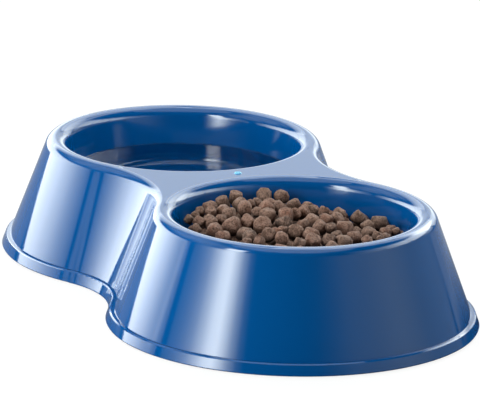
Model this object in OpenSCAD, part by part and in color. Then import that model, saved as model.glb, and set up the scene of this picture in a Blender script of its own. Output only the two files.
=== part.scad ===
// Double pet bowl: one moulded shell with two dishes, on six push-in rubber feet.
// Millimetres. The shell stands on its feet at z = 0 and is centred on the origin,
// with the water dish towards -X and the food dish towards +X.

/* [Dishes] */
// Width of the bridge between the lips of the two dishes
bridge_w = 15; // [8:0.5:30]
// Width of a dish's mouth at the foot of its rolled lip
mouth_d = 132; // [120:1:140]
// Depth of a dish below the rim
dish_depth = 49; // [40:1:52]
// Slope of a dish's wall from upright, in degrees
dish_taper = 10; // [5:1:24]
// Radius between a dish's wall and its floor
dish_corner_r = 16; // [10:1:20]

/* [Shell] */
// Height of the moulded shell
shell_h = 63.2; // [58:0.2:70]
// Wall thickness of the moulding
wall = 2.2; // [1.6:0.1:3]
// Radius of the lip that rolls down into a dish
lip_r = 6.5; // [5:0.5:9]
// Radius of the rim's outer edge
rim_r = 6; // [4:0.5:8]
// Width of the flat crest between lip and outer edge
rim_flat = 0.4; // [0.2:0.1:3]
// Slope of the skirt from upright, in degrees
skirt_angle = 20.4; // [14:0.2:24]
// Radius of the hollow curve between the bowls, at the crest of the rim
waist_r = 89; // [70:1:110]

/* [Foot band] */
// Height of the band round the foot of the skirt
band_h = 6.3; // [4:0.1:9]
// Width of the ledge on top of the band
band_step = 2.4; // [1:0.1:4]
// Slope of the band from upright, in degrees
band_angle = 20; // [5:1:26]
// Rounding of the band's two outer edges
band_edge_r = 0.6; // [0.3:0.1:0.9]

/* [Gate mark] */
// Width of the moulding mark between the dishes
gate_d = 3.6; // [2:0.2:6]
// Height of the moulding mark
gate_h = 0.5; // [0.2:0.1:1]
// Width of the pip left in the middle of the mark
gate_pip_d = 1.2; // [0.8:0.1:1.8]

/* [Rubber feet] */
// Width of a foot's pad
pad_d = 13; // [10:0.5:16]
// How far a pad stands below the shell
pad_proud = 0.8; // [0.4:0.1:2]
// Depth of the pad's seat in its boss
seat_depth = 1.6; // [1:0.1:3]
// Width of the stem's ribs
stem_d = 5; // [4:0.2:7]
// Length of the stem above the pad
stem_l = 7; // [5:0.5:9]
// Turn of the four corner feet from the long axis, in degrees
corner_turn = 48; // [35:1:60]

/* [Water] */
// Distance from the rim down to the water
water_drop = 20.6; // [12:0.2:30]

/* [Kibble] */
// Width of a pellet
pellet_d = 10.4; // [8:0.2:12]
// Length of a pellet
pellet_l = 8.8; // [7:0.2:11]
// Rounding of a pellet's edges
pellet_edge_r = 2.2; // [1.2:0.1:3]
// Distance from the rim down to the edge of the heap
heap_drop = 7.8; // [6:0.2:24]
// How far the heap's middle rises above its edge
heap_dome = 3; // [0:0.5:5]
// How far one side of the heap lies above the other
heap_lean = 6; // [0:0.5:8]
// Direction of the heap's high side, in degrees from the long axis
heap_turn = 215; // [0:5:355]
// Number that picks the lie of the pellets
heap_seed = 12; // [1:1:99]

/* [Hidden] */
$fn = 96;

// Cuts run this far past the faces they open
overrun = 1;
// Gap between the contents and the dish that holds them
contents_gap = 0.15;
// The waist stands this far proud of the bowls where their curves meet
mould_step = 0.03;
// Play between a foot and its seat, and between neighbouring pellets
fit_gap = 0.1;

// Places of the dishes and of the hollow curves between them
lip_x = mouth_d / 2 + lip_r;
dish_x = lip_x + bridge_w / 2;
crest_r = lip_x + rim_flat;
waist_sum = crest_r + waist_r;
waist_y = sqrt(waist_sum * waist_sum - dish_x * dish_x);

// Heights above the shell's own foot
rim_c = shell_h - rim_r;
lip_c = shell_h - lip_r;
floor_h = shell_h - dish_depth;
foot_z = pad_proud;

// Radii of the skirt and of the band, measured from a dish's axis
skirt_corner_r = crest_r + rim_r * tan(45 - skirt_angle / 2);
ledge_in_r = skirt_corner_r + (shell_h - band_h) * tan(skirt_angle);
ledge_out_r = ledge_in_r + band_step;
foot_r = ledge_out_r + band_h * tan(band_angle);

// Where a dish's wall leaves the lip, and the centre of the bend from wall to floor
dish_wall_r = lip_x - lip_r * cos(dish_taper);
dish_wall_z = lip_c + lip_r * sin(dish_taper);
dish_corner_z = floor_h + dish_corner_r;
dish_corner_x = dish_wall_r - (dish_wall_z - dish_corner_z) * tan(dish_taper)
    - dish_corner_r / cos(dish_taper);

// Bosses and stems of the feet
seat_d = pad_d + 2 * fit_gap;
boss_wall = 0.8 * wall;
boss_d = seat_d + 2 * boss_wall;
bore_d = stem_d + 2 * fit_gap;
bore_l = seat_depth + stem_l + 2 * fit_gap;
boss_h = bore_l + boss_wall;
stem_core_d = 0.84 * stem_d;
rib_count = 3;
rib_h = stem_l / (2 * rib_count);
foot_inset = wall + boss_d / 2 - boss_wall / 2;
corner_reach = foot_r - foot_inset;
side_y = waist_y - (waist_sum - foot_r) - foot_inset;
FOOT_PLACES = [
    for (sx = [1, -1], sy = [-1, 1])
        [sx * (dish_x + corner_reach * cos(corner_turn)), sy * corner_reach * sin(corner_turn)],
    for (sy = [-1, 1]) [0, sy * side_y]
];

// The heap is made by dropping pellets over a hexagonal grid of sites, one layer after another
site_pitch = 1.12 * pellet_d;
site_rows = ceil(mouth_d / 2 / (site_pitch * sin(60)));
// How far inside the mouth's edge the last sites lie
site_edge_share = 0.4;
// Number of layers, and how many of the last ones are loose, so that their pellets roll
layers = 8;
loose_layers = 3;
// Steps in which a loose pellet rolls to a lower place, and how far it looks round, in degrees,
// after a step that found one and after a step that didn't
settle_steps = 6;
found_turn = 27;
missed_turn = 45;
// Rise from one layer to the next, and how far above its layer a pellet may stay
layer_rise_share = 0.84;
layer_slack_share = 0.7;
// Sideways scatter of the loose pellets and of the packed ones below them
loose_shift_share = 0.45;
packed_shift_share = 0.1125;
// Spread of the pellets' sizes
pellet_vary_share = 0.07;
// How far around itself, and below the highest pellet there, a dropped one looks for others
near_share = 2.4;
// Extra room for a pellet where the dish's wall bends
bend_gap = 0.45;
// Facets round one pellet, few because a heap holds about two hundred
pellet_sides = 32;

// Half outline of the solid skirt, set in by t from its outer face
module skirt_profile(t = 0, below = 0) {
    ledge_z = band_h - t;
    in_r = ledge_in_r + t * tan(skirt_angle) - t / cos(skirt_angle);
    out_r = ledge_out_r + t * tan(band_angle) - t / cos(band_angle);
    low_r = foot_r - t / cos(band_angle);
    edge_r = t == 0 ? band_edge_r : 0;
    arc_r = rim_r - t;
    union() {
        polygon([
            [0, -below],
            [low_r - edge_r, -below],
            if (t == 0) [low_r - edge_r * tan(band_angle), edge_r],
            if (t > 0) [low_r, -below],
            if (t > 0) [low_r, 0],
            [out_r + edge_r * tan(band_angle), ledge_z - edge_r],
            if (t == 0) [out_r - edge_r, ledge_z],
            [in_r, ledge_z],
            [crest_r + arc_r * cos(skirt_angle), rim_c + arc_r * sin(skirt_angle)],
            [crest_r, rim_c],
            [crest_r, shell_h - t],
            [0, shell_h - t]
        ]);
        translate([crest_r, rim_c]) circle(arc_r);
    }
}

// Everything outside the skirt, measured from the axis of a waist curve
module waist_cut_profile(t = 0, below = 0) {
    open_r = waist_r - mould_step;
    difference() {
        translate([0, -below - overrun]) square([open_r, shell_h + below + 2 * overrun]);
        translate([crest_r + open_r, 0]) mirror([1, 0]) skirt_profile(t, below + 2 * overrun);
    }
}

// The whole figure-of-eight block, set in by t: two round bowls and the waist that joins them
module skirt_block(t = 0, below = 0) {
    union() {
        for (side = [-1, 1])
            translate([side * dish_x, 0, 0])
                rotate_extrude()
                    skirt_profile(t, below);
        difference() {
            translate([0, 0, -below])
                linear_extrude(shell_h - t + below)
                    polygon([[dish_x, 0], [0, waist_y], [-dish_x, 0], [0, -waist_y]]);
            for (side = [-1, 1])
                translate([0, side * waist_y, 0])
                    rotate_extrude()
                        waist_cut_profile(t, below);
        }
    }
}

// Half outline of a dish's hollow, grown by t into the moulding
module dish_profile(t = 0, above = 0) {
    corner_r = dish_corner_r + t;
    arc_r = lip_r - t;
    corner_x = dish_corner_x;
    corner_z = dish_corner_z;
    lip_end = [lip_x - arc_r * cos(dish_taper), lip_c + arc_r * sin(dish_taper)];
    wall_end = [corner_x + corner_r * cos(dish_taper), corner_z - corner_r * sin(dish_taper)];
    difference() {
        union() {
            polygon([
                [0, floor_h - t],
                [corner_x, floor_h - t],
                [corner_x, corner_z],
                wall_end,
                lip_end,
                [lip_x, lip_c],
                [lip_x, shell_h + above],
                [0, shell_h + above]
            ]);
            translate([corner_x, corner_z]) intersection() {
                circle(corner_r);
                translate([0, -corner_r]) square([corner_r, corner_r]);
            }
        }
        translate([lip_x, lip_c]) circle(arc_r);
    }
}

module both_dishes(t = 0, above = 0) {
    for (side = [-1, 1])
        translate([side * dish_x, 0, 0])
            rotate_extrude()
                dish_profile(t, above);
}

// Solid bosses that hold the feet, trimmed by the skirt they grow from
module bosses() {
    for (p = FOOT_PLACES)
        translate([p[0], p[1], -overrun])
            cylinder(d = boss_d, h = boss_h + overrun);
}

module foot_bores() {
    for (p = FOOT_PLACES)
        translate([p[0], p[1], -overrun]) {
            cylinder(d = seat_d, h = seat_depth + overrun);
            cylinder(d = bore_d, h = bore_l + overrun);
        }
}

module gate_mark() {
    difference() {
        cylinder(d = gate_d, h = shell_h + gate_h);
        translate([0, 0, -overrun]) cylinder(d = gate_d, h = shell_h + overrun - wall / 2);
        translate([0, 0, shell_h]) difference() {
            cylinder(d = 0.66 * gate_d, h = gate_h + overrun);
            cylinder(d = gate_pip_d, h = gate_h + overrun);
        }
    }
}

module bowl_shell() {
    color("#1560a4")
        translate([0, 0, foot_z]) {
            difference() {
                skirt_block();
                difference() {
                    skirt_block(wall, overrun);
                    both_dishes(wall, 0);
                    bosses();
                }
                both_dishes(0, overrun);
                foot_bores();
            }
            gate_mark();
        }
}

// One foot: a pad on the floor and a ribbed stem pushed up into its boss
module rubber_foot(i) {
    color("#2b2b2e")
        translate([FOOT_PLACES[i][0], FOOT_PLACES[i][1], 0]) {
            cylinder(d = pad_d, h = pad_proud + seat_depth);
            cylinder(d = stem_core_d, h = pad_proud + seat_depth + stem_l);
            for (k = [1:rib_count])
                translate([0, 0, pad_proud + seat_depth + stem_l * k / rib_count - rib_h])
                    cylinder(d1 = stem_d, d2 = stem_core_d, h = rib_h);
        }
}

module water() {
    color("#a8c8dc", 0.4)
        translate([-dish_x, 0, foot_z])
            rotate_extrude()
                intersection() {
                    dish_profile(-contents_gap);
                    square([mouth_d, shell_h - water_drop]);
                }
}

// A pellet is [centre, axis, half length, half width, edge radius], the halves less the edge
function new_pellet(centre, axis, s) = [
    centre, axis, s * (pellet_l / 2 - pellet_edge_r), s * (pellet_d / 2 - pellet_edge_r), s * pellet_edge_r
];

// Reach of pellet p from its centre towards the unit vector n
function reach(p, n) =
    let (c = min(1, abs(p[1] * n)))
    p[2] * c + p[3] * sqrt(1 - c * c) + p[4];

// Radius of the ball that holds a pellet
function ball_r(p) = norm([p[2], p[3]]) + p[4];

// Direction in which p, standing off from a by d on the level, just touches it
function touch_line(a, p, d, n, turns) =
    turns == 0 ? n :
    let (gap = reach(a, n) + reach(p, n) + fit_gap)
    let (next = [d[0], d[1], sqrt(max(gap * gap - d * d, 0.01 * gap * gap))])
    touch_line(a, p, d, next / norm(next), turns - 1);

// Height at which p, placed over the level point q, clears a by a plane across their line
function lift_over(a, p, q) =
    let (d = [q[0] - a[0][0], q[1] - a[0][1]], flat = norm(d))
    flat > ball_r(a) + ball_r(p) + fit_gap ? 0 :
    let (side = flat < fit_gap ? [0, 0, 1] : [d[0], d[1], 0] / flat)
    flat >= reach(a, side) + reach(p, side) + fit_gap ? 0 :
    let (n = touch_line(a, p, d, [0, 0, 1], 3))
    a[0][2] + (reach(a, n) + reach(p, n) + fit_gap - d[0] * n[0] - d[1] * n[1]) / n[2];

// Lowest height of p's centre over the dish's floor, corner and wall at the level point q
function dish_lift(p, q) =
    let (flat = norm(q), out = flat < fit_gap ? [1, 0] : q / flat)
    let (n = [out[0] * cos(dish_taper), out[1] * cos(dish_taper), -sin(dish_taper)])
    let (wall_r = flat + (reach(p, n) + bend_gap) / cos(dish_taper))
    let (slack = dish_corner_r - ball_r(p) - bend_gap, off = flat - dish_corner_x)
    max(
        floor_h + reach(p, [0, 0, 1]) + contents_gap,
        dish_wall_z + (wall_r - dish_wall_r) / tan(dish_taper),
        off <= 0 ? 0 : dish_corner_z - sqrt(max(0, slack * slack - off * off))
    );

// Height of the heap's surface over a place in the dish
function heap_top(q) =
    shell_h - heap_drop + heap_dome * (1 - pow(norm(q) / (mouth_d / 2), 2))
    + heap_lean * (q * [cos(heap_turn), sin(heap_turn)]) / mouth_d;

// Height at which p comes to rest over the level point q
function rest_height(p, q, near) = max([dish_lift(p, q), for (a = near) lift_over(a, p, q)]);

// Lets p slide from q, now at height z, to the lowest place it finds in a few steps
function settle(p, q, z, step, turn, near, steps) =
    steps == 0 ? [q[0], q[1], z] :
    let (tries = [for (t = [0:3])
        let (place = q + step * [cos(turn + 90 * t), sin(turn + 90 * t)])
        [rest_height(p, place, near), place]])
    let (low = min([for (t = tries) t[0]]))
    let (lowest = [for (t = tries) if (t[0] == low) t[1]][0])
    low < z
        ? settle(p, lowest, low, step, turn + found_turn, near, steps - 1)
        : settle(p, q, z, step / 2, turn + missed_turn, near, steps - 1);

// Drops pellet k over a site and returns it where it settles, with a last term that is true
// if what holds it up was within the pellets that it looked at
function drop(site, k, loose, placed) =
    let (r = rands(-1, 1, 7, heap_seed * 1000 + k))
    let (axis = [r[0], r[1], r[2] + 0.001])
    let (p = new_pellet([0, 0, 0], axis / norm(axis), 1 + pellet_vary_share * r[3]))
    let (q = site + (loose ? loose_shift_share : packed_shift_share) * pellet_d * [r[4], r[5]])
    let (span = near_share * pellet_d)
    let (around = [for (a = placed) if (abs(a[0][0] - q[0]) < span && abs(a[0][1] - q[1]) < span) a])
    let (cut = max([0, for (a = around) a[0][2]]) - span)
    let (near = [for (a = around) if (a[0][2] > cut) a])
    let (first = rest_height(p, q, near))
    let (place = settle(p, q, first, pellet_d / 4, 180 * r[6], near, loose ? settle_steps : 0))
    [place, p[1], p[2], p[3], p[4], place[2] > cut + span / 2];

// Drops a pellet over each site, and keeps it if it lies within its layer and within the heap
function pile(sites, k, placed) =
    k == len(sites) ? placed :
    let (layer = sites[k][2], loose = layer >= layers - loose_layers)
    let (p = drop([sites[k][0], sites[k][1]], k, loose, placed))
    let (inside = p[0][2] + reach(p, [0, 0, 1]) <= heap_top([p[0][0], p[0][1]]))
    let (level = p[0][2] <= floor_h + (layer + layer_slack_share) * layer_rise_share * pellet_d)
    pile(sites, k + 1, p[5] && inside && level ? concat(placed, [p]) : placed);

// Sites on a hexagonal grid over the mouth, gone over once for each layer
function layer_sites(layer) = [
    for (j = [-site_rows:site_rows], i = [-site_rows - 1:site_rows + 1])
        let (shift = (layer % 3) / 3, x = (i + shift + (j % 2 == 0 ? 0 : 0.5)) * site_pitch)
        let (y = (j + shift) * site_pitch * sin(60))
        if (norm([x, y]) < mouth_d / 2 - site_edge_share * pellet_d) [x, y, layer]
];

// Turns the Z axis onto w
module aim(w) {
    rotate([0, acos(w[2]), atan2(w[1], w[0])]) children();
}

module pellet(s) {
    r = s * pellet_d / 2;
    h = s * pellet_l / 2;
    e = s * pellet_edge_r;
    rotate_extrude($fn = pellet_sides)
        union() {
            translate([0, -h]) square([r - e, 2 * h]);
            translate([0, e - h]) square([r, 2 * (h - e)]);
            for (z = [e - h, h - e])
                translate([r - e, z]) circle(e, $fn = pellet_sides);
        }
}

module kibble() {
    sites = [for (layer = [0:layers - 1]) each layer_sites(layer)];
    heap = pile(sites, 0, []);
    color("#8a6a52")
        translate([dish_x, 0, foot_z])
            for (p = heap)
                translate(p[0]) aim(p[1]) pellet(p[4] / pellet_edge_r);
}

bowl_shell();
rubber_foot(0);  // foot_1
rubber_foot(1);  // foot_2
rubber_foot(2);  // foot_3
rubber_foot(3);  // foot_4
rubber_foot(4);  // foot_5
rubber_foot(5);  // foot_6
water();
kibble();
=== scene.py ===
"""Dresses the double pet bowl: glossy moulded shell, still water, dry kibble and rubber feet.

Everything is in metres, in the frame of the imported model: X runs along the two dishes towards
the food dish and Z is up. The bowl stands on the floor at z = 0.
"""

import math
import random
from contextlib import contextmanager

import bpy
import numpy as np
from mathutils import Matrix, Vector


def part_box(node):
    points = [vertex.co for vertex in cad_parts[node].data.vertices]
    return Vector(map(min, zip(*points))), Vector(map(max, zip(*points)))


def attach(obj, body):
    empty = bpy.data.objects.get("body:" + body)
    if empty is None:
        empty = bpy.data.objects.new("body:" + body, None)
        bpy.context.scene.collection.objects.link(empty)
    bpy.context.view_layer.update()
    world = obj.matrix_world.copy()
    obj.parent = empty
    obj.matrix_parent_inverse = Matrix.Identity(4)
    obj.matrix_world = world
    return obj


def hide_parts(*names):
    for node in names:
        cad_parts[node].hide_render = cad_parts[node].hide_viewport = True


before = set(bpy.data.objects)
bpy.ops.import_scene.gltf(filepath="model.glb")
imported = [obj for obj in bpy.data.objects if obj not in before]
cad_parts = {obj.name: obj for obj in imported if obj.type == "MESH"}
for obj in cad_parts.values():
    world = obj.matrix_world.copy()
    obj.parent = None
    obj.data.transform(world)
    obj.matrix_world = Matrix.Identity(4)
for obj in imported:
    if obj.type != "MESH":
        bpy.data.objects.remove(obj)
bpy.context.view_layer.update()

bl_info = {
    "name": "Double Pet Bowl Dresser",
    "version": (1, 0, 0),
    "blender": (4, 5, 0),
    "location": "View3D > Sidebar > Pet Bowl",
    "description": "Builds the finish, water, kibble and stage of a double pet bowl",
    "category": "Object",
}

MM = 0.001
ROOT = "root"
SHELL_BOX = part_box("bowl_shell")
WATER_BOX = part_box("water")
KIBBLE_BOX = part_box("kibble")
# Places of the two colours and of the result among a colour mixing node's sockets
MIX_FIRST, MIX_SECOND, MIX_RESULT = 6, 7, 2


# Small helpers

def clear_selection():
    """Leaves nothing selected, so that an operator acts only on what comes next."""
    if bpy.context.mode != "OBJECT":
        bpy.ops.object.mode_set(mode="OBJECT")
    bpy.ops.object.select_all(action="DESELECT")


def pick(obj):
    """Makes obj the one selected and active object."""
    clear_selection()
    obj.select_set(True)
    bpy.context.view_layer.objects.active = obj


@contextmanager
def editing():
    """Keeps the active object in edit mode for the block that follows."""
    bpy.ops.object.mode_set(mode="EDIT")
    yield
    bpy.ops.object.mode_set(mode="OBJECT")


def new_material(name):
    """Returns an empty node material as (material, nodes, links)."""
    material = bpy.data.materials.new(name)
    material.use_nodes = True
    tree = material.node_tree
    tree.nodes.clear()
    return material, tree.nodes, tree.links


def add_node(nodes, kind, **values):
    """Adds a node and sets its properties and its sockets, the sockets by name."""
    node = nodes.new(kind)
    for key, value in values.items():
        if hasattr(node, key):
            setattr(node, key, value)
        else:
            node.inputs[key.replace("_", " ")].default_value = value
    return node


def finish_surface(nodes, links, shader):
    """Puts a shader on the material's output."""
    output = nodes.new("ShaderNodeOutputMaterial")
    links.new(shader.outputs[0], output.inputs["Surface"])


def dress(obj, material):
    """Gives the whole of an object one material."""
    slots = obj.material_slots
    if not slots:
        obj.data.materials.append(material)
    for slot in slots:
        slot.material = material


def read_mesh(part, label, size):
    """Reads a float array of a mesh's parts, one row for each."""
    values = np.empty(len(part) * size)
    part.foreach_get(label, values)
    return values.reshape(-1, size)


def mark_points(mesh, label, values):
    """Stores a value on each point of a mesh, for its material to read."""
    mark = mesh.attributes.new(label, "FLOAT", "POINT")
    mark.data.foreach_set("value", values)


# Shared shader effects

def feed(links, socket, value):
    """Links a socket to the socket that is given, or sets it to the plain value that is given."""
    if isinstance(value, bpy.types.NodeSocket):
        links.new(value, socket)
    else:
        socket.default_value = value


def calculate(nodes, links, operation, *sources):
    """Works a value out of sockets and numbers."""
    node = add_node(nodes, "ShaderNodeMath", operation=operation)
    for socket, source in zip(node.inputs, sources):
        feed(links, socket, source)
    return node.outputs[0]


def map_values(nodes, links, source, low, high, start=0.0, end=1.0, soft=False):
    """Spreads a value between low and high as it runs from start to end."""
    node = add_node(
        nodes, "ShaderNodeMapRange", From_Min=start, From_Max=end, To_Min=low, To_Max=high)
    if soft:
        node.interpolation_type = "SMOOTHSTEP"
    links.new(source, node.inputs["Value"])
    return node.outputs["Result"]


def mix_colours(nodes, links, factor, first, second):
    """Mixes two colours, each a tuple or a socket, by a socket."""
    node = add_node(nodes, "ShaderNodeMix", data_type="RGBA")
    links.new(factor, node.inputs["Factor"])
    for place, value in ((MIX_FIRST, first), (MIX_SECOND, second)):
        feed(links, node.inputs[place], (*value, 1.0) if isinstance(value, tuple) else value)
    return node.outputs[MIX_RESULT]


def mix_shaders(nodes, links, factor, first, second):
    """Mixes two shader nodes by a socket or a number."""
    node = nodes.new("ShaderNodeMixShader")
    feed(links, node.inputs["Fac"], factor)
    links.new(first.outputs[0], node.inputs[1])
    links.new(second.outputs[0], node.inputs[2])
    return node


def add_bump(nodes, links, shader, height, strength, distance):
    """Gives a shader's surface relief after a socket."""
    bump = add_node(nodes, "ShaderNodeBump", Strength=strength, Distance=distance)
    links.new(height, bump.inputs["Height"])
    links.new(bump.outputs["Normal"], shader.inputs["Normal"])


def new_group(name, inputs, outputs):
    """Makes a shader node group with named sockets and returns (tree, input node, output node)."""
    tree = bpy.data.node_groups.new(name, "ShaderNodeTree")
    for label, kind, value in inputs:
        socket = tree.interface.new_socket(label, in_out="INPUT", socket_type=kind)
        socket.default_value = value
    for label, kind in outputs:
        tree.interface.new_socket(label, in_out="OUTPUT", socket_type=kind)
    return tree, tree.nodes.new("NodeGroupInput"), tree.nodes.new("NodeGroupOutput")


def mottle_group():
    """Two octaves of soft blotches and fine grain over object coordinates."""
    name = "mottle_and_grain"
    if name in bpy.data.node_groups:
        return bpy.data.node_groups[name]
    inputs = [
        ("Blotch Scale", "NodeSocketFloat", 12.0),
        ("Grain Scale", "NodeSocketFloat", 900.0),
        ("Grain Share", "NodeSocketFloat", 0.3),
    ]
    outputs = [(label, "NodeSocketFloat") for label in ("Blotch", "Grain", "Mix")]
    tree, given, result = new_group(name, inputs, outputs)
    nodes, links = tree.nodes, tree.links
    place = nodes.new("ShaderNodeTexCoord")
    blotch = add_node(nodes, "ShaderNodeTexNoise", Detail=3.0, Roughness=0.5)
    grain = add_node(nodes, "ShaderNodeTexNoise", Detail=2.0, Roughness=0.6)
    for noise, scale in ((blotch, "Blotch Scale"), (grain, "Grain Scale")):
        links.new(place.outputs["Object"], noise.inputs["Vector"])
        links.new(given.outputs[scale], noise.inputs["Scale"])
    blend = add_node(nodes, "ShaderNodeMix", data_type="FLOAT")
    links.new(given.outputs["Grain Share"], blend.inputs["Factor"])
    links.new(blotch.outputs["Fac"], blend.inputs["A"])
    links.new(grain.outputs["Fac"], blend.inputs["B"])
    links.new(blotch.outputs["Fac"], result.inputs["Blotch"])
    links.new(grain.outputs["Fac"], result.inputs["Grain"])
    links.new(blend.outputs["Result"], result.inputs["Mix"])
    return tree


def add_mottle(nodes, blotch_scale, grain_scale, grain_share):
    """Places the shared mottle group in a material with its own values."""
    node = nodes.new("ShaderNodeGroup")
    node.node_tree = mottle_group()
    node.inputs["Blotch Scale"].default_value = blotch_scale
    node.inputs["Grain Scale"].default_value = grain_scale
    node.inputs["Grain Share"].default_value = grain_share
    return node


# Sizes and colours that a user would change

class StageSettings(bpy.types.PropertyGroup):
    """Camera, floor and lamps."""

    azimuth: bpy.props.FloatProperty(
        name="Azimuth", description="Direction of the camera, from straight in front",
        default=math.radians(66.721), unit="ROTATION")
    elevation: bpy.props.FloatProperty(
        name="Elevation", description="Height of the camera's view above the level",
        default=math.radians(15.813), unit="ROTATION")
    roll: bpy.props.FloatProperty(
        name="Roll", description="Turn of the camera about its own view",
        default=math.radians(1.155), unit="ROTATION")
    distance: bpy.props.FloatProperty(
        name="Distance", description="Distance from the camera to its target",
        default=3.21888, unit="LENGTH")
    target: bpy.props.FloatVectorProperty(
        name="Target", description="Point in the middle of the view",
        default=(0.08093, -0.03306, 0.06743), size=3, unit="LENGTH")
    lens: bpy.props.FloatProperty(
        name="Lens", description="Focal length in millimetres on a 36 mm sensor", default=443.58)
    floor_size: bpy.props.FloatProperty(
        name="Floor Size", description="Side of the pale floor", default=16.0, unit="LENGTH")
    floor_shadow: bpy.props.FloatProperty(
        name="Floor Shadow", description="How much of the bowl's shadow the white floor shows",
        default=0.14, min=0.0, max=1.0, subtype="FACTOR")


class ShellSettings(bpy.types.PropertyGroup):
    """Finish of the moulded shell."""

    colour: bpy.props.FloatVectorProperty(
        name="Colour", description="Blue of the moulded plastic",
        default=(0.0, 0.056, 0.202), size=3, subtype="COLOR", min=0.0, max=1.0)
    roughness: bpy.props.FloatProperty(
        name="Roughness", description="Roughness of the polished plastic",
        default=0.06, min=0.0, max=1.0, subtype="FACTOR")
    skin_cuts: bpy.props.IntProperty(
        name="Skin Cuts", description="Cuts that make the facets of the smooth surfaces finer",
        default=2)
    # Painted highlight: a pale spot at the gate that stands in for the glint on its pip
    gate_highlight_radius: bpy.props.FloatProperty(
        name="Gate Highlight", description="Radius of the pale spot that moulding leaves at the gate",
        default=2.9 * MM, unit="LENGTH")


class WaterSettings(bpy.types.PropertyGroup):
    """Water in the dish."""

    meniscus: bpy.props.FloatProperty(
        name="Meniscus", description="Height to which the water climbs the wall of its dish",
        default=0.5 * MM, unit="LENGTH")
    bite: bpy.props.FloatProperty(
        name="Bite", description="How far the water reaches into the dish, so that no air shows",
        default=0.25 * MM, unit="LENGTH")
    corner: bpy.props.FloatProperty(
        name="Corner", description="Radius of the dish where its wall turns into its floor",
        default=15.85 * MM, unit="LENGTH")
    taper: bpy.props.FloatProperty(
        name="Taper", description="Lean of the dish's wall from upright",
        default=math.radians(10.0), unit="ROTATION")
    colour: bpy.props.FloatVectorProperty(
        name="Colour", description="Tint of the water",
        default=(0.85, 0.94, 1.0), size=3, subtype="COLOR", min=0.0, max=1.0)


class KibbleSettings(bpy.types.PropertyGroup):
    """Dry pellets in the food dish."""

    colour: bpy.props.FloatVectorProperty(
        name="Colour", description="Mean brown of the pellets",
        default=(0.15, 0.087, 0.063), size=3, subtype="COLOR", min=0.0, max=1.0)
    pellet: bpy.props.FloatProperty(
        name="Pellet", description="Mean diameter of a pellet", default=8.2 * MM, unit="LENGTH")
    edge_height: bpy.props.FloatProperty(
        name="Edge Height", description="Height of the heap's edge above the ground",
        default=56.2 * MM, unit="LENGTH")
    dome: bpy.props.FloatProperty(
        name="Dome", description="How far the heap's middle rises above its edge",
        default=3.0 * MM, unit="LENGTH")
    lean: bpy.props.FloatProperty(
        name="Lean", description="How far one side of the heap lies above the other",
        default=6.0 * MM, unit="LENGTH")
    lean_turn: bpy.props.FloatProperty(
        name="Lean Turn", description="Direction of the heap's high side, from the long axis",
        default=math.radians(215.0), unit="ROTATION")
    reach: bpy.props.FloatProperty(
        name="Reach", description="Radius of the dish's mouth", default=66.0 * MM, unit="LENGTH")
    rim_height: bpy.props.FloatProperty(
        name="Rim Height", description="Height of the dish's wall where the lip begins",
        default=58.6 * MM, unit="LENGTH")
    corner: bpy.props.FloatProperty(
        name="Corner", description="Radius of the dish where its wall turns into its floor",
        default=16.0 * MM, unit="LENGTH")
    taper: bpy.props.FloatProperty(
        name="Taper", description="Lean of the dish's wall from upright",
        default=math.radians(10.0), unit="ROTATION")
    seed: bpy.props.IntProperty(
        name="Seed", description="Number that picks the pellets' dents and shades", default=7)


SETTINGS = {
    "bowl_stage": StageSettings,
    "bowl_shell": ShellSettings,
    "bowl_water": WaterSettings,
    "bowl_kibble": KibbleSettings,
}


# Stage

# Soft banks of lamps: name, distance from the bowl in metres, lower and upper edge in degrees
# above the level, shares of the height over which the lower and upper edge fade, and the glow
# along the bank as pairs of azimuth, in degrees from the camera's side, and brightness, 1 for
# paper white
BANKS = [
    ("strip", 0.7, 4, 31, 0.15, 0.15, (
        (-76, 0.5), (-70, 1.0), (-64.6, 1.9), (-58.6, 3.8), (-52.6, 8.5), (-46.6, 15.0),
        (-41.6, 17.0), (-36.6, 10.5), (-32.6, 4.5), (-27.6, 0.7), (-23.6, 0.0))),
    ("strip_top", 0.7, 29, 48, 0.1, 0.3, ((-54, 0.0), (-48, 18.0), (-38, 18.0), (-33, 0.0))),
    ("left_bank", 0.95, 0, 25, 0.0, 0.25, (
        (-172, 1.0), (-162, 2.4), (-150, 5.0), (-138, 6.2), (-126, 7.6), (-115, 8.0),
        (-104, 6.4), (-96, 4.0), (-88, 2.0), (-84, 1.0))),
    ("left_sliver", 0.45, 4, 20, 0.1, 0.2, (
        (-82.6, 0.2), (-81.6, 1.1), (-79, 1.1), (-78, 0.3))),
    ("left_end", 1.5, 0, 12, 0.0, 0.3, ((-206, 0.6), (-196, 1.2), (-180, 1.2), (-170, 0.6))),
    ("left_upper", 2.0, 26, 66, 0.3, 0.4, ((-160, 0.0), (-130, 1.2), (-80, 1.2), (-40, 0.0))),
    ("right_bank", 1.6, 0, 30, 0.0, 0.3, (
        (8, 0.0), (17, 0.04), (24, 0.15), (31, 0.32), (38, 0.54), (51, 0.7), (66, 0.95),
        (74, 1.0), (84, 0.8), (94, 0.55), (120, 0.4), (138, 0.05))),
    ("right_upper", 0.5, 17, 43, 0.25, 0.3, (
        (38, 0.0), (65, 1.8), (85, 5.5), (130, 6.0), (150, 2.0))),
    ("right_far", 2.0, 3, 42, 0.3, 0.3, ((120, 0.0), (134, 1.4), (158, 1.6), (168, 1.0))),
    ("front_upper", 2.0, 52, 76, 0.4, 0.3, ((-50, 0.0), (-30, 0.3), (30, 0.3), (50, 0.0))),
    ("back_low", 2.0, 3, 19, 0.0, 0.1, (
        (146, 1.1), (156, 1.4), (176, 1.5), (196, 1.5), (206, 0.7))),
    ("back_middle", 2.0, 18, 39, 0.05, 0.05, (
        (136, 1.3), (150, 2.3), (176, 2.5), (194, 2.5), (208, 1.1))),
    ("back_upper", 2.0, 37, 72, 0.1, 0.3, (
        (130, 0.5), (150, 3.0), (170, 3.6), (194, 3.6), (210, 1.5))),
]
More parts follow.
